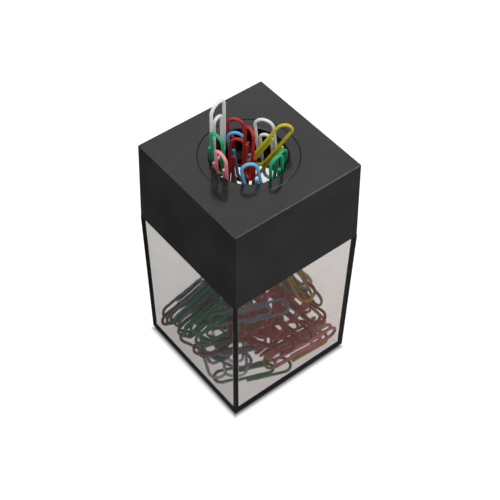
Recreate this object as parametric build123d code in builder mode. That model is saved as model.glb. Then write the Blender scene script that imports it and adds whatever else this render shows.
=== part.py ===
from build123d import *
import os

import numpy as np

# A magnetic paper clip holder: a clear square box, a black cap with a round throat,
# a ring magnet round the throat, and the coated wire clips that it holds.
# Millimetres, +Z up, origin on the desk under the middle of the box.

# Box and cap
FOOT_WIDTH = 50.9
JOINT_WIDTH = 52.5
TOP_WIDTH = 51.0
JOINT_HEIGHT = 61.6
TOTAL_HEIGHT = 95.0
BOX_WALL = 1.85
BOX_FLOOR = 2.4
CAP_WALL = 2.0
BOX_CORNER_RADIUS = 0.1
INSIDE_RADIUS = 0.2
FOOT_EDGE = 0.08
CAP_CORNER_RADIUS = 0.45
CAP_EDGE_RADIUS = 0.4

# The cap's thin lip goes over the box's thin rim
LAP_HEIGHT = 7.0
LAP_LIP = 0.85
LAP_SIDE_GAP = 0.12
LAP_TOP_GAP = 0.5

# Throat ring, set flush in the cap's top
BORE = 25.5
FLANGE_WIDTH = 3.9
FLANGE_THICKNESS = 1.6
LEDGE_THICKNESS = 1.0
FLANGE_GAP = 0.12
FLANGE_CHAMFER = 0.2
TUBE_WALL = 1.5
TUBE_LENGTH = 17.0
TUBE_GAP = 0.15
BORE_EDGE_RADIUS = 0.6

# Ring magnet and the ring that holds it up
MAGNET_THICKNESS = 9.0
MAGNET_SIDE_GAP = 2.6
MAGNET_CHAMFER = 0.5
RETAINER_WIDTH = 5.0
RETAINER_THICKNESS = 1.6
RETAINER_COLLAR = 1.6
RETAINER_GAP = 0.05

# Paper clip
CLIP_LENGTH = 28.0
CLIP_WIDTH = 7.4
WIRE = 1.1
WIRE_GAP = 0.15
INNER_LOOP_DROP = 6.6
OUTER_LEG = 17.5
INNER_LEG = 11.0
CUT_EDGE = 0.12

# How the clips lie
THROAT_CLIP_GAP = 0.2
PILE_GAP = 0.3
PILE_SEED = 18
PILE_CLIPS = 14
PILE_CENTRE = (-0.5, -4.0)
PILE_SPREAD = 6.5
BARE_CORNER = 20.0
START_TRIES = 40
NUDGE_TRIES = 48
NUDGE_STEPS = (1.5, 1.5, 0.2, 0.15, 0.15)
NUDGE_SHRINK = 0.85
SETTLING_NUDGES = 5
LOOSE_NUDGES = 8
TILT_SPREAD = 0.25
COLOUR_BLEND = 10.0

TOP_PLATE = FLANGE_THICKNESS + LEDGE_THICKNESS
FLANGE_DIAMETER = BORE + 2 * FLANGE_WIDTH
TUBE_DIAMETER = BORE + 2 * TUBE_WALL
PLATE_UNDERSIDE = TOTAL_HEIGHT - TOP_PLATE
MAGNET_UNDERSIDE = PLATE_UNDERSIDE - MAGNET_THICKNESS
SPIGOT_WIDTH = JOINT_WIDTH - 2 * (LAP_LIP + LAP_SIDE_GAP)
RIM_TOP = JOINT_HEIGHT + LAP_HEIGHT


def box_width(height):
    """Outside width of the box at a height: it widens evenly from the foot to the joint."""
    return FOOT_WIDTH + (JOINT_WIDTH - FOOT_WIDTH) * height / JOINT_HEIGHT


def cap_width(height):
    """Outside width of the cap at a height: it narrows evenly from the joint to the top."""
    share = (height - JOINT_HEIGHT) / (TOTAL_HEIGHT - JOINT_HEIGHT)
    return JOINT_WIDTH + (TOP_WIDTH - JOINT_WIDTH) * share


def tapered_square(low, low_width, high, high_width, radius, mode=Mode.ADD):
    """A square block with rounded corners between two heights, added to the part being built."""
    with BuildSketch(Plane.XY.offset(low)) as low_end:
        RectangleRounded(low_width, low_width, radius)
    with BuildSketch(Plane.XY.offset(high)) as high_end:
        RectangleRounded(high_width, high_width, radius)
    loft([low_end.sketch, high_end.sketch], ruled=True, mode=mode)


# Clear box, open at the top, with a thin rim that the cap's lip goes over
rim_taper = cap_width(JOINT_HEIGHT) - cap_width(RIM_TOP)
with BuildPart() as box:
    tapered_square(0, FOOT_WIDTH, JOINT_HEIGHT, JOINT_WIDTH, BOX_CORNER_RADIUS)
    tapered_square(JOINT_HEIGHT, SPIGOT_WIDTH, RIM_TOP, SPIGOT_WIDTH - rim_taper, BOX_CORNER_RADIUS)
    chamfer(box.edges().group_by(Axis.Z)[0], FOOT_EDGE)
    inside_floor = box_width(BOX_FLOOR) - 2 * BOX_WALL
    inside_top = JOINT_WIDTH - 2 * BOX_WALL
    tapered_square(BOX_FLOOR, inside_floor, JOINT_HEIGHT, inside_top, INSIDE_RADIUS, Mode.SUBTRACT)
    tapered_square(JOINT_HEIGHT, inside_top, RIM_TOP, inside_top, INSIDE_RADIUS, Mode.SUBTRACT)
box.part.label = "box"

# Black cap, with a counterbore in its top for the throat ring
lip_top = RIM_TOP + LAP_TOP_GAP
with BuildPart() as cap:
    tapered_square(JOINT_HEIGHT, JOINT_WIDTH, TOTAL_HEIGHT, TOP_WIDTH, CAP_CORNER_RADIUS)
    fillet(cap.edges().group_by(Axis.Z)[-1], CAP_EDGE_RADIUS)
    lip_width = JOINT_WIDTH - 2 * LAP_LIP
    lip_taper = cap_width(JOINT_HEIGHT) - cap_width(lip_top)
    tapered_square(JOINT_HEIGHT, lip_width, lip_top, lip_width - lip_taper, BOX_CORNER_RADIUS, Mode.SUBTRACT)
    wall_low = cap_width(lip_top) - 2 * CAP_WALL
    wall_high = cap_width(PLATE_UNDERSIDE) - 2 * CAP_WALL
    tapered_square(lip_top, wall_low, PLATE_UNDERSIDE, wall_high, INSIDE_RADIUS, Mode.SUBTRACT)
    with Locations((0, 0, TOTAL_HEIGHT)):
        CounterBoreHole(
            TUBE_DIAMETER / 2 + TUBE_GAP,
            FLANGE_DIAMETER / 2 + FLANGE_GAP,
            FLANGE_THICKNESS,
            TOP_PLATE,
        )
cap.part.label = "cap"

# Throat ring: a flange flush with the top and a tube that the clips cling to inside
with BuildPart() as throat_ring:
    with BuildSketch(Plane.XY.offset(TOTAL_HEIGHT)):
        Circle(FLANGE_DIAMETER / 2)
    extrude(amount=-FLANGE_THICKNESS)
    chamfer(throat_ring.edges().group_by(Axis.Z)[-1], FLANGE_CHAMFER)
    with BuildSketch(Plane.XY.offset(TOTAL_HEIGHT - FLANGE_THICKNESS)):
        Circle(TUBE_DIAMETER / 2)
    extrude(amount=FLANGE_THICKNESS - TUBE_LENGTH)
    with Locations((0, 0, TOTAL_HEIGHT)):
        Hole(BORE / 2, TUBE_LENGTH)
    bore_edges = throat_ring.edges().filter_by(GeomType.CIRCLE).group_by(Axis.Z)[-1]
    fillet(bore_edges.sort_by(SortBy.RADIUS)[0], BORE_EDGE_RADIUS)
throat_ring.part.label = "throat_ring"

# Ring magnet, round the tube and against the underside of the cap's top
magnet_diameter = wall_high - 2 * MAGNET_SIDE_GAP
with BuildPart() as ring_magnet:
    with BuildSketch(Plane.XY.offset(MAGNET_UNDERSIDE)):
        Circle(magnet_diameter / 2)
        Circle(TUBE_DIAMETER / 2 + TUBE_GAP, mode=Mode.SUBTRACT)
    extrude(amount=MAGNET_THICKNESS)
    chamfer(ring_magnet.edges().filter_by(GeomType.CIRCLE), MAGNET_CHAMFER)
ring_magnet.part.label = "ring_magnet"

# Retainer: a flat ring under the magnet, with a collar bonded to the tube
with BuildPart() as magnet_retainer:
    with BuildSketch(Plane.XY.offset(MAGNET_UNDERSIDE)):
        Circle(TUBE_DIAMETER / 2 + RETAINER_WIDTH)
        Circle(TUBE_DIAMETER / 2 + RETAINER_GAP, mode=Mode.SUBTRACT)
    extrude(amount=-RETAINER_THICKNESS)
    with BuildSketch(Plane.XY.offset(MAGNET_UNDERSIDE - RETAINER_THICKNESS)):
        Circle(TUBE_DIAMETER / 2 + RETAINER_COLLAR)
        Circle(TUBE_DIAMETER / 2 + RETAINER_GAP, mode=Mode.SUBTRACT)
    extrude(amount=TOTAL_HEIGHT - TUBE_LENGTH - (MAGNET_UNDERSIDE - RETAINER_THICKNESS))
magnet_retainer.part.label = "magnet_retainer"

# Paper clip: one wire with three half-turns, flat in XY, its double-loop end towards +Y
half_length = (CLIP_LENGTH - WIRE) / 2
outer_x = (CLIP_WIDTH - WIRE) / 2
inner_x = outer_x - WIRE - WIRE_GAP
end_radius = (outer_x + inner_x) / 2
outer_turn = half_length - outer_x
end_turn = end_radius - half_length
inner_turn = half_length - INNER_LOOP_DROP - inner_x
with BuildPart() as clip:
    with BuildLine() as clip_line:
        Line((outer_x, half_length - OUTER_LEG), (outer_x, outer_turn))
        CenterArc((0, outer_turn), outer_x, 0, 180)
        Line((-outer_x, outer_turn), (-outer_x, end_turn))
        CenterArc(((inner_x - outer_x) / 2, end_turn), end_radius, 180, 180)
        Line((inner_x, end_turn), (inner_x, inner_turn))
        CenterArc((0, inner_turn), inner_x, 0, 180)
        Line((-inner_x, inner_turn), (-inner_x, inner_turn - INNER_LEG))
    with BuildSketch(Plane(clip_line.line @ 0, z_dir=clip_line.line % 0)):
        Circle(WIRE / 2)
    sweep()
    chamfer(clip.faces().filter_by(GeomType.PLANE).edges(), CUT_EDGE)

# Points along the clip's wire, close enough together to measure the room around it
POINT_STEP = 0.6
centre_line = clip_line.wire()
steps = int(centre_line.length / POINT_STEP)
wire_points = np.array([tuple(centre_line @ (i / steps))[:2] for i in range(steps + 1)])


def placed_points(origin, across, along):
    """The wire's points for clips at these origins, with the clip's X and Y along two directions."""
    x = wire_points[:, 0, None]
    y = wire_points[:, 1, None]
    return origin[..., None, :] + x * across[..., None, :] + y * along[..., None, :]


def clip_plane(origin, across, along):
    """The plane that a clip lies in, for placing a copy."""
    return Plane(tuple(origin), x_dir=tuple(across), z_dir=tuple(np.cross(across, along)))


def turned(vector, axis, degrees):
    """A vector turned about a unit axis by the right-hand rule."""
    angle = np.radians(degrees)
    return (
        vector * np.cos(angle)
        + np.cross(axis, vector) * np.sin(angle)
        + axis * (axis @ vector) * (1 - np.cos(angle))
    )


# Clips that stand in the throat, in the order that the magnet takes them.
# bearing: side of the throat, from +X; turn: of the clip's flat from the wall; lean: outwards;
# tip: sideways; rise: share of its length that is above the cap. True: the double-loop end is up.
THROAT_CLIPS = {
    "throat_clip_red_back": (False, dict(bearing=70, turn=-31, lean=4, tip=3, rise=0.25)),
    "throat_clip_blue_back": (False, dict(bearing=71, turn=-27, lean=4, tip=6, rise=0.125)),
    "throat_clip_white_right": (True, dict(bearing=13, turn=20, lean=-4, tip=4, rise=0.325)),
    "throat_clip_white_left": (True, dict(bearing=127, turn=-23, lean=-2, tip=6, rise=0.775)),
    "throat_clip_green_left": (False, dict(bearing=160, turn=27, lean=6, tip=6, rise=0.518)),
    "throat_clip_pink_front": (False, dict(bearing=-181, turn=2, lean=8, tip=9, rise=0.393)),
    "throat_clip_blue_front": (False, dict(bearing=-121, turn=2, lean=1, tip=-10, rise=0.271)),
    "throat_clip_green_right": (False, dict(bearing=-78, turn=-7, lean=5, tip=-9, rise=0.293)),
    "throat_clip_yellow": (False, dict(bearing=-6, turn=62, lean=24, tip=-19, rise=0.354)),
    "throat_clip_green_far": (False, dict(bearing=-55, turn=-23, lean=4, tip=-3, rise=0.182)),
    "throat_clip_red_low": (False, dict(bearing=104, turn=-66, lean=1, tip=-5, rise=0.136)),
    "throat_clip_red_middle": (False, dict(bearing=54, turn=-61, lean=4, tip=-2, rise=0.439)),
}

# A clip's flat is tested as a grid of points, in its full width
STRIP_STEP = 1.5


def flat_and_way(origin, across, axis):
    """Points over a standing clip's flat, and over the strip that it takes up as it is drawn out."""
    columns = int(np.ceil(2 * outer_x / STRIP_STEP)) + 1
    x = np.linspace(-outer_x, outer_x, columns)[:, None, None]
    rows = int(np.ceil(2 * half_length / STRIP_STEP))
    height = (np.arange(2 * rows + 1) / rows * 2 - 1)[None, :, None] * half_length
    strip = origin + x * across + height * axis
    return strip[:, : rows + 1].reshape(-1, 3), strip.reshape(-1, 3)


def stand_in_throat(bearing, turn, lean, tip, rise, standing):
    """Origin, across and upward axis of a clip set as far out as the wall and the standing clips allow."""
    up = np.array([0.0, 0.0, 1.0])
    outwards = turned(np.array([1.0, 0.0, 0.0]), up, bearing)
    sideways = np.cross(up, outwards)
    axis = turned(turned(up, sideways, lean), outwards, -tip)
    across = turned(sideways, up, turn)
    across = across - axis * (axis @ across)
    across = across / np.linalg.norm(across)
    origin = up * (TOTAL_HEIGHT + CLIP_LENGTH * (rise - axis[2] / 2))
    flat, way = flat_and_way(origin, across, axis)
    throat = flat[(flat[:, 2] <= TOTAL_HEIGHT) & (flat[:, 2] >= TOTAL_HEIGHT - TUBE_LENGTH)]
    room = BORE / 2 - WIRE / 2 - THROAT_CLIP_GAP
    shift = (np.sqrt(room**2 - (throat @ sideways) ** 2) - throat @ outwards).min()
    reach = np.hypot(WIRE + THROAT_CLIP_GAP, STRIP_STEP / np.sqrt(2))
    low, high = [np.inf], [np.inf]
    for other_flat, other_way in standing:
        for mine, theirs in ((flat, other_way), (way, other_flat)):
            apart = theirs[None, :, :] - mine[:, None, :]
            ahead = apart @ outwards
            beside = (apart**2).sum(axis=2) - ahead**2
            meets = beside < reach**2
            half_span = np.sqrt(reach**2 - beside[meets])
            low.extend(ahead[meets] - half_span)
            high.extend(ahead[meets] + half_span)
    low, high = np.array(low), np.array(high)
    while ((low < shift) & (shift < high)).any():
        shift = low[(low < shift) & (shift < high)].min()
    return origin + outwards * shift, across, axis


standing_clips = []
throat_poses = {}
for name, (double_up, pose) in THROAT_CLIPS.items():
    origin, across, axis = stand_in_throat(**pose, standing=standing_clips)
    standing_clips.append(flat_and_way(origin, across, axis))
    side = 1.0 if double_up else -1.0
    throat_poses[name] = (origin, across * side, axis * side)

# The pile in the box. Clips come down one at a time on a map of the lowest height that a wire's
# centre can have over each cell of the floor, and each is nudged into the lowest place it finds.
CELL = 0.25
pile_limit = inside_floor / 2 - WIRE / 2 - PILE_GAP
cells_across = int(np.ceil(inside_floor / CELL))
lowest_centre = np.full((cells_across, cells_across), BOX_FLOOR + WIRE / 2 + PILE_GAP / 2)
pile_reach = WIRE + PILE_GAP
stamp = np.arange(-np.ceil(pile_reach / CELL), np.ceil(pile_reach / CELL) + 1).astype(int)
stamp_x, stamp_y = (grid.ravel() for grid in np.meshgrid(stamp, stamp))
random = np.random.default_rng(PILE_SEED)


def cell_of(values):
    """The map's cell that each coordinate falls in."""
    cells = np.floor((values + inside_floor / 2) / CELL).astype(int)
    return np.clip(cells, 0, cells_across - 1)


def lie_directions(states):
    """Across and along directions of clips with rows of x, y, heading, slope and roll (radians)."""
    heading, slope, roll = states[:, 2], states[:, 3], states[:, 4]
    level = np.stack([np.cos(heading), np.sin(heading), 0 * heading], axis=1)
    beside = np.stack([-np.sin(heading), np.cos(heading), 0 * heading], axis=1)
    up = np.array([[0.0, 0.0, 1.0]])
    along = level * np.cos(slope)[:, None] + up * np.sin(slope)[:, None]
    over = up * np.cos(slope)[:, None] - level * np.sin(slope)[:, None]
    across = over * np.sin(roll)[:, None] - beside * np.cos(roll)[:, None]
    return across, along


def come_down(states):
    """Origins at which these clips touch down, and the height of each one's top, infinite outside."""
    across, along = lie_directions(states)
    origin = np.column_stack([states[:, :2], np.zeros(len(states))])
    points = placed_points(origin, across, along)
    over = (np.abs(points[..., :2]) - pile_limit).max(axis=1).clip(min=0)
    origin[:, :2] -= np.sign(states[:, :2]) * over
    points[..., :2] -= (np.sign(states[:, :2]) * over)[:, None, :]
    ground = lowest_centre[cell_of(points[..., 0]), cell_of(points[..., 1])]
    origin[:, 2] = (ground - points[..., 2]).max(axis=1)
    outside = np.abs(points[..., :2]).max(axis=(1, 2)) > pile_limit + CELL
    bare = points[..., :2].sum(axis=2).min(axis=1) < BARE_CORNER - 2 * pile_limit
    top = origin[:, 2] + points[..., 2].max(axis=1)
    return origin, np.where(outside | bare, np.inf, top)


def lay(state, nudges):
    """Lays one clip: its origin, across and along after some rounds of nudging."""
    step = np.array(NUDGE_STEPS)
    for _ in range(nudges):
        tries = state + random.normal(size=(NUDGE_TRIES, 5)) * step
        tries[0] = state
        state = tries[come_down(tries)[1].argmin()]
        step = step * NUDGE_SHRINK
    origin = come_down(state[None])[0][0]
    across, along = (direction[0] for direction in lie_directions(state[None]))
    points = placed_points(origin, across, along)
    cell_x = cell_of(points[:, 0])[:, None] + stamp_x
    cell_y = cell_of(points[:, 1])[:, None] + stamp_y
    from_x = (cell_x + 0.5) * CELL - inside_floor / 2 - points[:, 0, None]
    from_y = (cell_y + 0.5) * CELL - inside_floor / 2 - points[:, 1, None]
    room = pile_reach**2 - from_x**2 - from_y**2
    height = points[:, 2, None] + np.sqrt(room.clip(min=0))
    within = (room > 0) & (np.minimum(cell_x, cell_y) >= 0)
    within &= np.maximum(cell_x, cell_y) < cells_across
    np.maximum.at(lowest_centre, (cell_x[within], cell_y[within]), height[within])
    return origin, across, along


# Clips that show through the walls: colour, place in shares of the box's inside half width, and
# heading, slope and roll in degrees. The first ones lie or lean just so, and the last ones settle
# lower from the place given here.
FIRST_CLIPS = [
    ("green", (-0.41, -0.79), -22, 0, 0),
    ("white", (-0.78, 0.03), -112, 0, 0),
    ("white", (-0.37, -0.19), -129, 0, 0),
    ("yellow", (0.32, -0.78), -4, 0, 0),
    ("pink", (0.39, -0.91), -5, 0, 84),
    ("pink", (0.38, -0.81), -5, 0, 80),
    ("pink", (0.36, -0.71), -4, 0, 70),
    ("red", (0.35, -0.61), -3, 0, 64),
    ("red", (0.33, -0.51), -2, 0, 58),
    ("blue", (-0.72, -0.08), -66, 0, 0),
    ("red", (-0.53, -0.23), -28, 3, 0),
    ("blue", (-0.51, -0.34), -24, 3, 5),
    ("green", (-0.38, 0.51), 12, 0, 0),
    ("red", (-0.40, 0.96), 4, 9, -80),
    ("blue", (-0.40, 0.88), 5, 8, -80),
    ("green", (-0.40, 0.79), 6, 7, -79),
    ("blue", (-0.39, 0.69), 6, 6, -78),
    ("green", (-0.39, 0.60), 7, 5, -76),
    ("blue", (-0.39, 0.50), 8, 4, -70),
    ("green", (-0.37, 0.38), 10, 3, -60),
    ("red", (0.82, -0.17), 88, 0, 0),
    ("pink", (0.80, 0.13), 94, 0, 0),
    ("green", (0.95, -0.06), 90, 7, 80),
    ("yellow", (0.71, -0.36), 92, 0, 8),
]
LAST_CLIPS = [
    ("red", (0.10, -0.32), 45, 0, 0),
    ("red", (-0.08, -0.21), 65, 0, 0),
    ("red", (0.04, -0.38), 20, 0, 0),
    ("red", (0.22, -0.57), -14, 0, 5),
    ("blue", (-0.25, -0.38), -20, 0, 0),
    ("red", (0.10, 0.13), 60, 0, 0),
    ("white", (0.88, 0.05), 82, 20, 60),
    ("green", (0.93, -0.10), 80, 20, 65),
    ("yellow", (0.74, -0.42), 96, 8, 0),
]
PILE_COLOURS = ["red", "pink", "blue", "green", "yellow", "white"]
LEFT_SHARES = [0.32, 0.06, 0.34, 0.28, 0.00, 0.00]
RIGHT_SHARES = [0.60, 0.16, 0.04, 0.08, 0.12, 0.00]

pile_poses = {colour: [] for colour in PILE_COLOURS}


def lay_shown(shown_clips, nudges):
    """Lays the clips of a list, in order."""
    for colour, (x, y), *angles in shown_clips:
        place = np.array([x, y]) * inside_floor / 2
        pile_poses[colour].append(lay(np.array([*place, *np.radians(angles)]), nudges))


def lay_loose():
    """Lays one clip from the best of some random starts, with a colour for its side of the box."""
    starts = np.column_stack([
        random.normal(size=(START_TRIES, 2)) * PILE_SPREAD + PILE_CENTRE,
        random.uniform(0, 2 * np.pi, size=START_TRIES),
        random.normal(size=(START_TRIES, 2)) * TILT_SPREAD,
    ])
    pose = lay(starts[come_down(starts)[1].argmin()], LOOSE_NUDGES)
    to_right = 0.5 + 0.5 * np.tanh((pose[0][0] - pose[0][1]) / COLOUR_BLEND)
    shares = np.array(LEFT_SHARES) * (1 - to_right) + np.array(RIGHT_SHARES) * to_right
    pile_poses[random.choice(PILE_COLOURS, p=shares)].append(pose)


lay_shown(FIRST_CLIPS, 0)
for _ in range(PILE_CLIPS):
    lay_loose()
lay_shown(LAST_CLIPS, SETTLING_NUDGES)

# Write every piece
os.makedirs("parts", exist_ok=True)
for piece in (box, cap, throat_ring, ring_magnet, magnet_retainer):
    export_step(piece.part, f"parts/{piece.part.label}.step")


def write_clips(label, poses):
    """Copies the clip to each pose as a separate solid and writes them as one node."""
    with BuildPart() as clips:
        with Locations(*(clip_plane(*pose) for pose in poses)):
            add(clip.part)
    clips.part.label = label
    export_step(clips.part, f"parts/{label}.step")


for name, pose in throat_poses.items():
    write_clips(name, [pose])
for colour, poses in pile_poses.items():
    write_clips(f"loose_clips_{colour}", poses)
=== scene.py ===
# %% [markdown]
# # A magnetic paper clip holder
# A clear smoky box stands on the desk with a heap of coated clips in it. A black cap laps over its
# rim, and a ring magnet under the cap holds more clips upright in a round throat.
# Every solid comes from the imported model, so this lesson is about light, optics and finishes.

# %% Load the frame
import math

import bpy
import numpy as np
from mathutils import Matrix, Vector

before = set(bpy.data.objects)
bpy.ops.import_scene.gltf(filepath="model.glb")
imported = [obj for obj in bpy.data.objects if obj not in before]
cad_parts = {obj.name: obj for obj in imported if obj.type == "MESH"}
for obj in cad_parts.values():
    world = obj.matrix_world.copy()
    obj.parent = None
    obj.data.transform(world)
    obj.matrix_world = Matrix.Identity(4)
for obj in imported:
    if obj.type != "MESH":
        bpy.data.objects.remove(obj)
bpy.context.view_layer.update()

# %% [markdown]
# ## Camera
# The photograph was taken from above the front corner with a long lens. Its place was solved from
# the corners of the cap and the foot, so the same corners fall on the same pixels here. The shift
# is the small offset of the lens's axis from the middle of the picture.

# %% Camera
AZIMUTH = math.radians(-38.79)
ELEVATION = math.radians(49.19)
ROLL = math.radians(0.585)
DISTANCE = 0.42076
AIM = Vector((0, 0, 0.04743))
FOCAL_PIXELS = 1205.14
AXIS_OFFSET_PIXELS = (-2.087, 2.384)
PICTURE_PIXELS = 500

back = Vector((
    math.sin(AZIMUTH) * math.cos(ELEVATION),
    -math.cos(AZIMUTH) * math.cos(ELEVATION),
    math.sin(ELEVATION),
))
level_right = Vector((0, 0, 1)).cross(back).normalized()
level_up = back.cross(level_right)
right = level_right * math.cos(ROLL) + level_up * math.sin(ROLL)
up = level_up * math.cos(ROLL) - level_right * math.sin(ROLL)

camera_data = bpy.data.cameras.new("camera")
camera_data.lens = camera_data.sensor_width * FOCAL_PIXELS / PICTURE_PIXELS
camera_data.shift_x = -AXIS_OFFSET_PIXELS[0] / PICTURE_PIXELS
camera_data.shift_y = AXIS_OFFSET_PIXELS[1] / PICTURE_PIXELS
camera_data.clip_start = 0.01
camera = bpy.data.objects.new("camera", camera_data)
turn = Matrix((right, up, back)).transposed().to_4x4()
camera.matrix_world = Matrix.Translation(AIM + back * DISTANCE) @ turn
bpy.context.scene.collection.objects.link(camera)
bpy.context.scene.camera = camera
print("Lens, mm:", round(camera_data.lens, 2))

# %% [markdown]
# ## Shader maths in Python
# A finish is a small graph of nodes. Wiring each node by hand hides the formula, so one class
# stands for a socket: arithmetic on it adds Math nodes, and `node` adds any other kind.

# %% One class for shader maths
class Socket:
    """An output socket. Sums and products of sockets and numbers become Math nodes in its tree."""

    def __init__(self, tree, socket=None):
        self.tree = tree
        self.socket = socket

    def node(self, kind, inputs=(), out=0, stops=(), **settings):
        """Adds a node: its settings and ramp stops first, then a value or link for each input."""
        made = self.tree.nodes.new(kind)
        for name, value in settings.items():
            setattr(made, name, value)
        for index, (place, colour) in enumerate(stops):
            ramp = made.color_ramp.elements
            stop = ramp[index] if index < 2 else ramp.new(place)
            stop.position = place
            stop.color = colour
        for name, value in dict(inputs).items():
            if isinstance(value, Socket):
                self.tree.links.new(value.socket, made.inputs[name])
            else:
                made.inputs[name].default_value = value
        return Socket(self.tree, made.outputs[out])

    def math(self, operation, first, second=0.0):
        return self.node("ShaderNodeMath", {0: first, 1: second}, operation=operation)

    def __add__(self, other):
        return self.math("ADD", self, other)

    def __radd__(self, other):
        return self.math("ADD", other, self)

    def __sub__(self, other):
        return self.math("SUBTRACT", self, other)

    def __rsub__(self, other):
        return self.math("SUBTRACT", other, self)

    def __mul__(self, other):
        return self.math("MULTIPLY", self, other)

    def __rmul__(self, other):
        return self.math("MULTIPLY", other, self)

    def step(self, low, high):
        """Rises smoothly from 0 at low to 1 at high."""
        return self.node(
            "ShaderNodeMapRange",
            {"Value": self, "From Min": low, "From Max": high},
            interpolation_type="SMOOTHSTEP",
        )

    def noise(self, size, detail=2.0, roughness=0.5):
        """Cloudy values about 0.5, with features of a size in metres."""
        return self.node(
            "ShaderNodeTexNoise",
            {"Vector": self, "Scale": 1 / size, "Detail": detail, "Roughness": roughness},
        )

    def mix(self, first, second):
        """A colour between two, by this value."""
        return self.node(
            "ShaderNodeMix", {"Factor": self, 6: first, 7: second}, out=2, data_type="RGBA"
        )


# %% Helpers for the finishes
def from_middle(x, y):
    """Distance from the middle as a square measures it: the larger of the two, without sign."""
    return x.math("MAXIMUM", x.math("ABSOLUTE", x), y.math("ABSOLUTE", y))


def new_finish(name):
    """An empty material, the object coordinates in it, and its output node."""
    material = bpy.data.materials.new(name)
    material.use_nodes = True
    tree = material.node_tree
    tree.nodes.clear()
    output = tree.nodes.new("ShaderNodeOutputMaterial")
    place = Socket(tree).node("ShaderNodeTexCoord", out="Object")
    return material, place, output


def paint(material, *nodes):
    """Puts a finish on CAD nodes, in place of the one they came with."""
    for name in nodes:
        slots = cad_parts[name].data.materials
        slots.clear()
        slots.append(material)
    print(material.name, "on", len(nodes), "nodes")


# %% [markdown]
# ## Black plastic
# The cap and the throat ring are moulded in black plastic from a polished mould. The top mirrors
# the clips in a soft way, so the finish is a dark base with a clear gloss that handling has dulled
# in places: broad cloudy smears change the roughness, and a very fine grain breaks up the mirror.
# The cap's upper edge gets a painted highlight: a paler, patchy band on the front-right side, where
# the front lamp's thin line falls. Object coordinates find that edge: it is where both the
# distance from the middle and the height are near their largest.

# %% Black plastic
BLACK = (0.0088, 0.0084, 0.0085, 1)
WORN_BLACK = (0.0145, 0.0139, 0.0140, 1)
# Paler base colour of the painted edge highlight
EDGE_HIGHLIGHT_BLACK = (0.050, 0.049, 0.050, 1)
MOULDED_IOR = 1.5
MOULDED_ROUGHNESS = 0.13
SMEAR_SIZE = 0.014
SMEAR_DULLING = 0.07
HAIRLINE_SIZE = 0.0011
HAIRLINE_DULLING = 0.06
GRAIN_SIZE = 0.00025
GRAIN_HEIGHT = 0.000004
EDGE_HALF_WIDTH = 0.02525
EDGE_HEIGHT = 0.0947
EDGE_FADE = 0.0003
EDGE_DULLING = 0.15
EDGE_PATCH_SIZE = 0.004
# The painted highlight starts left of the front corner and is full to the right of it, in metres of
# x - y
HIGHLIGHT_START, HIGHLIGHT_FULL = -0.02, 0.03

black_plastic, place, output = new_finish("black_plastic")
smears = place.noise(SMEAR_SIZE, detail=4).step(0.35, 0.75)
fine_grain = place.noise(GRAIN_SIZE, detail=1)
hairlines = place.noise(HAIRLINE_SIZE, detail=6, roughness=0.75).step(0.62, 0.70)
relief = place.node(
    "ShaderNodeBump", {"Height": fine_grain, "Distance": GRAIN_HEIGHT, "Strength": 0.6}
)
x, y, z = (place.node("ShaderNodeSeparateXYZ", {0: place}, out=axis) for axis in "XYZ")
rim = from_middle(x, y).step(EDGE_HALF_WIDTH - EDGE_FADE, EDGE_HALF_WIDTH)
# Painted highlight: a paler, rougher band along the cap's upper edge, on the front-right side only
edge = rim * z.step(EDGE_HEIGHT - EDGE_FADE, EDGE_HEIGHT) * (x - y).step(HIGHLIGHT_START, HIGHLIGHT_FULL)
painted_edge_highlight = edge * (0.4 + 0.6 * place.noise(EDGE_PATCH_SIZE, detail=3).step(0.35, 0.65))
dulling = SMEAR_DULLING * smears + HAIRLINE_DULLING * hairlines + EDGE_DULLING * painted_edge_highlight
shader = place.node(
    "ShaderNodeBsdfPrincipled",
    {
        "Base Color": painted_edge_highlight.mix(smears.mix(BLACK, WORN_BLACK), EDGE_HIGHLIGHT_BLACK),
        "Roughness": MOULDED_ROUGHNESS + dulling,
        "Normal": relief,
        "IOR": MOULDED_IOR,
    },
)
black_plastic.node_tree.links.new(shader.socket, output.inputs["Surface"])
paint(black_plastic, "cap", "throat_ring", "magnet_retainer")

# %% [markdown]
# ## Smoky clear plastic
# The box is clear plastic with a little smoke in it. One wall looks pale, but along an edge the eye
# looks through the whole width of the plastic and sees nearly black. That comes from absorption
# inside the solid, not from its surface, so the surface is plain glass and the colour is a volume.
# Moulded walls are never quite flat: a slow, shallow wave bends what is seen through them, and
# rubbed patches blur it a little.

# %% Smoky clear plastic
CLEAR_IOR = 1.49
CLEAR_ROUGHNESS = 0.04
SMOKE_DENSITY = 104.0
SMOKE_COLOUR = (0.475, 0.40, 0.35, 1)
RUBBED_SIZE = 0.009
RUBBED_DULLING = 0.05
WAVE_SIZE = 0.011
WAVE_HEIGHT = 0.0001

clear_plastic, place, output = new_finish("clear_plastic")
rubbed = place.noise(RUBBED_SIZE, detail=5, roughness=0.6).step(0.5, 0.8)
slow_wave = place.noise(WAVE_SIZE, detail=1)
waves = place.node(
    "ShaderNodeBump", {"Height": slow_wave, "Distance": WAVE_HEIGHT, "Strength": 1.0}
)
shader = place.node(
    "ShaderNodeBsdfPrincipled",
    {
        "Base Color": (1, 1, 1, 1),
        "Roughness": CLEAR_ROUGHNESS + RUBBED_DULLING * rubbed,
        "Normal": waves,
        "IOR": CLEAR_IOR,
        "Transmission Weight": 1.0,
    },
)
smoke = place.node(
    "ShaderNodeVolumeAbsorption", {"Color": SMOKE_COLOUR, "Density": SMOKE_DENSITY}
)
clear_plastic.node_tree.links.new(shader.socket, output.inputs["Surface"])
clear_plastic.node_tree.links.new(smoke.socket, output.inputs["Volume"])
paint(clear_plastic, "box")
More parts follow.
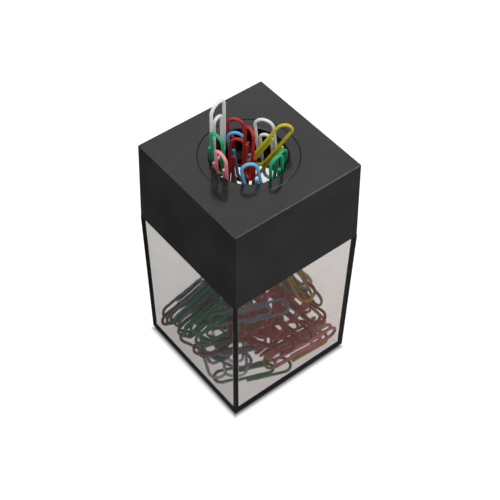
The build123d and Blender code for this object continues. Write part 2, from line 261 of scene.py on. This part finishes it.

# %% [markdown]
# ## Coated wire
# Each clip is steel wire in a thin coloured skin. The skin is smooth and glossy, a touch uneven
# where it was drawn on, and its tone drifts a little from clip to clip. In the photograph the loose
# blue and yellow clips look slate and golden beside the ones in the throat, so these two colours
# get darker copies of their own: painted shade for the dimmer light inside the smoky box.

# %% Coated wire
WIRE_COLOURS = {
    "red": (0.40, 0.016, 0.018),
    "pink": (0.88, 0.29, 0.35),
    "blue": (0.10, 0.43, 0.72),
    "green": (0.012, 0.36, 0.16),
    "yellow": (0.58, 0.51, 0.028),
    "white": (0.82, 0.82, 0.84),
}
# Darker copies of blue and yellow for the loose clips in the box: painted shade
SHADED_LOOSE_COLOURS = {"blue": (0.15, 0.25, 0.38), "yellow": (0.70, 0.43, 0.045)}
TONE_DRIFT = 0.82
DRIFT_SIZE = 0.011
SKIN_IOR = 1.5
SKIN_ROUGHNESS = 0.24
STREAK_SIZE = 0.0012
STREAK_HEIGHT = 0.00002
STREAK_DULLING = 0.16


def coated_wire(colour, rgb):
    """Glossy coloured skin: tone drifting in clouds, roughness in streaks, a faint unevenness."""
    material, place, output = new_finish(f"coated_wire_{colour}")
    drift = place.noise(DRIFT_SIZE, detail=2).step(0.35, 0.65)
    streaks = place.noise(STREAK_SIZE, detail=3)
    uneven = place.node(
        "ShaderNodeBump", {"Height": streaks, "Distance": STREAK_HEIGHT, "Strength": 0.35}
    )
    shader = place.node(
        "ShaderNodeBsdfPrincipled",
        {
            "Base Color": drift.mix((*(TONE_DRIFT * v for v in rgb), 1), (*rgb, 1)),
            "Roughness": SKIN_ROUGHNESS + STREAK_DULLING * streaks,
            "Normal": uneven,
            "IOR": SKIN_IOR,
        },
    )
    material.node_tree.links.new(shader.socket, output.inputs["Surface"])
    return material


for colour, rgb in WIRE_COLOURS.items():
    standing = [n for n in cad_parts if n.startswith(f"throat_clip_{colour}")]
    if colour in SHADED_LOOSE_COLOURS:
        paint(coated_wire(f"{colour}_loose", SHADED_LOOSE_COLOURS[colour]), f"loose_clips_{colour}")
    else:
        standing.append(f"loose_clips_{colour}")
    paint(coated_wire(colour, rgb), *standing)

# %% [markdown]
# ## Ferrite
# The ring magnet is pressed and fired ferrite: a dull charcoal grey with a fine sandy grain.

# %% Ferrite
CHARCOAL = (0.028, 0.028, 0.03, 1)
PALE_CHARCOAL = (0.05, 0.05, 0.052, 1)
FERRITE_ROUGHNESS = 0.55
PATCH_SIZE = 0.006
SAND_SIZE = 0.0004
SAND_HEIGHT = 0.00005
SAND_DULLING = 0.2

ferrite, place, output = new_finish("ferrite")
sand = place.noise(SAND_SIZE, detail=4, roughness=0.7)
patches = place.noise(PATCH_SIZE, detail=3).step(0.3, 0.7)
relief = place.node("ShaderNodeBump", {"Height": sand, "Distance": SAND_HEIGHT, "Strength": 0.7})
shader = place.node(
    "ShaderNodeBsdfPrincipled",
    {
        "Base Color": patches.mix(CHARCOAL, PALE_CHARCOAL),
        "Roughness": FERRITE_ROUGHNESS + SAND_DULLING * sand,
        "Normal": relief,
    },
)
ferrite.node_tree.links.new(shader.socket, output.inputs["Surface"])
paint(ferrite, "ring_magnet")

# %% [markdown]
# ## Floor
# The photograph is a studio shot on white paper. The Light Path node tells how a ray came to the
# paper, and the paper answers each kind of ray in its own way.
#
# - Seen straight, or through clear plastic (`seen`): part matte, to take shadows, and part glowing,
#   to be white.
# - After a mirror reflection (`mirrored`): a dim studio. The cap's sides in the photograph mirror
#   only about a tenth of white, and more on the right than on the left. Mirrored inside the
#   plastic, it is a little brighter and makes a thin veil over the clips.
# - After a matte bounce (`scattered`): plain paper that throws light back up. Rays that also passed
#   the plastic (`through`) meet darker, warmer paper, as they cross the smoky walls more than once.
#
# Round the foot the paper darkens over about 2 mm: the tight shadow of the foot's edge, which the
# glow would hide. Under the box's clear floor hardly any lamp light arrives, so the glow is set
# apart there.

# %% Kinds of ray
def ray_kinds(place):
    """Three values of 0 or 1: the ray was mirrored, was scattered, and came through plastic."""
    return [
        place.node("ShaderNodeLightPath", out=f"{kind} Depth").step(0, 1)
        for kind in ("Glossy", "Diffuse", "Transmission")
    ]


# %% Floor sheet
FLOOR_DROP = 0.0002
FLOOR_HALF = 1.5

corners = FLOOR_HALF * np.array([(-1, -1), (1, -1), (1, 1), (-1, 1)])
floor_mesh = bpy.data.meshes.new("floor")
floor_mesh.from_pydata(np.column_stack([corners, np.full(4, -FLOOR_DROP)]), [], [(0, 1, 2, 3)])
floor = bpy.data.objects.new("floor", floor_mesh)
bpy.context.scene.collection.objects.link(floor)
print("Floor at", -1000 * FLOOR_DROP, "mm")

# %% White paper
FLOOR_GLOW = 0.6
OPEN_GLOW = (1.22, 1.22, 1.22, 1)
UNDER_GLOW = (1.2, 1.2, 1.2, 1)
PAPER = (0.95, 0.95, 0.95, 1)
SMOKED_PAPER = (0.40, 0.35, 0.30, 1)
SHADOW = (0.02, 0.02, 0.02, 1)
FOOT_HALF = 0.0254
FOOT_FADE = 0.0004
SHADOW_SHIFT = 0.0009
SHADOW_INSIDE = 0.0005
SHADOW_REACH = 0.0022
SHADOW_START = FOOT_HALF - SHADOW_SHIFT - SHADOW_INSIDE
SHADOW_END = FOOT_HALF - SHADOW_SHIFT + SHADOW_REACH
DARK_SIDE = (0.042, 0.042, 0.044, 1)
LIGHT_SIDE = (0.15, 0.15, 0.158, 1)
DARK_VEIL = (0.17, 0.165, 0.16, 1)
LIGHT_VEIL = (0.60, 0.36, 0.28, 1)
SIDE_FADE = 0.1

paper, place, output = new_finish("white_paper")
mirrored, scattered, through = ray_kinds(place)
seen = (1 - mirrored) * (1 - scattered)
x, y = (place.node("ShaderNodeSeparateXYZ", {0: place}, out=axis) for axis in "XY")
outside = from_middle(x, y).step(FOOT_HALF - FOOT_FADE, FOOT_HALF)
clear_of_foot = from_middle(x + SHADOW_SHIFT, y + SHADOW_SHIFT).step(SHADOW_START, SHADOW_END)
sheet = (scattered * through).mix(PAPER, SMOKED_PAPER)
matte = place.node("ShaderNodeBsdfDiffuse", {"Color": clear_of_foot.mix(SHADOW, sheet)})
around = clear_of_foot.mix(SHADOW, OPEN_GLOW)
glow = place.node("ShaderNodeEmission", {"Color": outside.mix(UNDER_GLOW, around)})
to_right = (x - y).step(-SIDE_FADE, SIDE_FADE)
sides = through.mix(to_right.mix(DARK_SIDE, LIGHT_SIDE), to_right.mix(DARK_VEIL, LIGHT_VEIL))
dim = place.node("ShaderNodeEmission", {"Color": sides})
lit = place.node("ShaderNodeMixShader", {0: FLOOR_GLOW * seen, 1: matte, 2: glow})
paper_shader = place.node("ShaderNodeMixShader", {0: mirrored, 1: lit, 2: dim})
paper.node_tree.links.new(paper_shader.socket, output.inputs["Surface"])
floor_mesh.materials.append(paper)
print("Shadow reaches", round(1000 * (SHADOW_END - FOOT_HALF), 1), "mm out from the foot")

# %% [markdown]
# ## World
# The world is a big soft lamp: brighter overhead than at the horizon. Rays that reach it straight
# or through plastic see plain white, and light that came through the smoky walls is dimmed.

# %% World
SKY_LOW = 0.26
SKY_RISE = 0.72
SKY_FULL = 0.75
SMOKE_SHADE = 0.36

world = bpy.data.worlds.new("studio")
world.use_nodes = True
world.node_tree.nodes.clear()
sky = Socket(world.node_tree)
height = sky.node(
    "ShaderNodeSeparateXYZ", {0: sky.node("ShaderNodeTexCoord", out="Generated")}, out="Z"
)
mirrored, scattered, through = ray_kinds(sky)
seen = (1 - mirrored) * (1 - scattered)
clear_level = SKY_LOW + SKY_RISE * height.step(0.0, SKY_FULL)
level = clear_level * (1 - SMOKE_SHADE * (scattered * through))
studio = sky.node("ShaderNodeBackground", {"Color": (1, 1, 1, 1), "Strength": level})
white = sky.node("ShaderNodeBackground", {"Color": (1, 1, 1, 1), "Strength": 1.0})
backdrop = sky.node("ShaderNodeMixShader", {0: seen, 1: studio, 2: white})
output = world.node_tree.nodes.new("ShaderNodeOutputWorld")
world.node_tree.links.new(backdrop.socket, output.inputs["Surface"])
bpy.context.scene.world = world
print("Sky level from", SKY_LOW, "to", round(SKY_LOW + SKY_RISE, 2))

# %% [markdown]
# ## Softboxes
# Two large square lamps, one overhead and one at the front right. The right side of the cap is the
# lighter one in the photograph, and its upper edge catches the front lamp as a thin line, which a
# painted highlight in the black plastic strengthens.

# %% Softboxes
# For each one: direction from the object, distance and side in metres, and power in watts
SOFTBOXES = {
    "softbox_front_right": (Vector((0.41, -0.76, 0.52)), 0.85, 0.45, 1.6),
    "softbox_overhead": (Vector((-0.15, 0.1, 1.0)), 0.9, 0.6, 2.2),
}
for name, (direction, distance, side, watts) in SOFTBOXES.items():
    light = bpy.data.lights.new(name, "AREA")
    light.shape = "SQUARE"
    light.size = side
    light.energy = watts
    lamp = bpy.data.objects.new(name, light)
    aim = direction.to_track_quat("Z", "Y").to_matrix().to_4x4()
    lamp.matrix_world = Matrix.Translation(AIM + direction.normalized() * distance) @ aim
    bpy.context.scene.collection.objects.link(lamp)
    print(name, watts, "W")

# %% [markdown]
# ## Finish
# The picture uses the plain Standard view transform.

# %% Finish
bpy.context.scene.view_settings.view_transform = "Standard"
